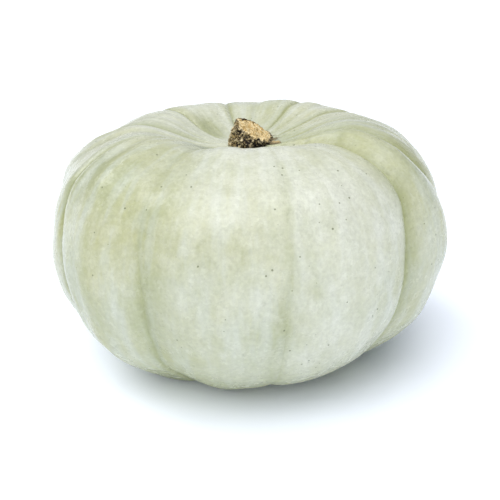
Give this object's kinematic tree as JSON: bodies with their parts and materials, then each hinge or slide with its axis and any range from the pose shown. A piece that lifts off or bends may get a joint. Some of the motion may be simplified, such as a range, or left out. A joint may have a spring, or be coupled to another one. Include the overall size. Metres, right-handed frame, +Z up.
{
  "type": "crown pumpkin",
  "caption": "Broad, flattened, ribbed squash with a pale grey-green rind and a short corky cut stem in a shallow crown hollow, resting on its ribs' feet.",
  "frame": {"origin": "on the surface the fruit rests on, under the middle of its box", "axes": "+Z up through the stem, -Y towards the front, +X to the right seen from the front"},
  "size_m": [0.2552, 0.26, 0.1578],
  "materials": {
    "rind": "waxy pale grey-green rind with whitish bloom, satin",
    "cork": "dry, rough tan cork with dark cracks and a paler cut end"
  },
  "bodies": {
    "root": {"fruit": "rind", "stem": "cork"}
  },
  "joints": []
}
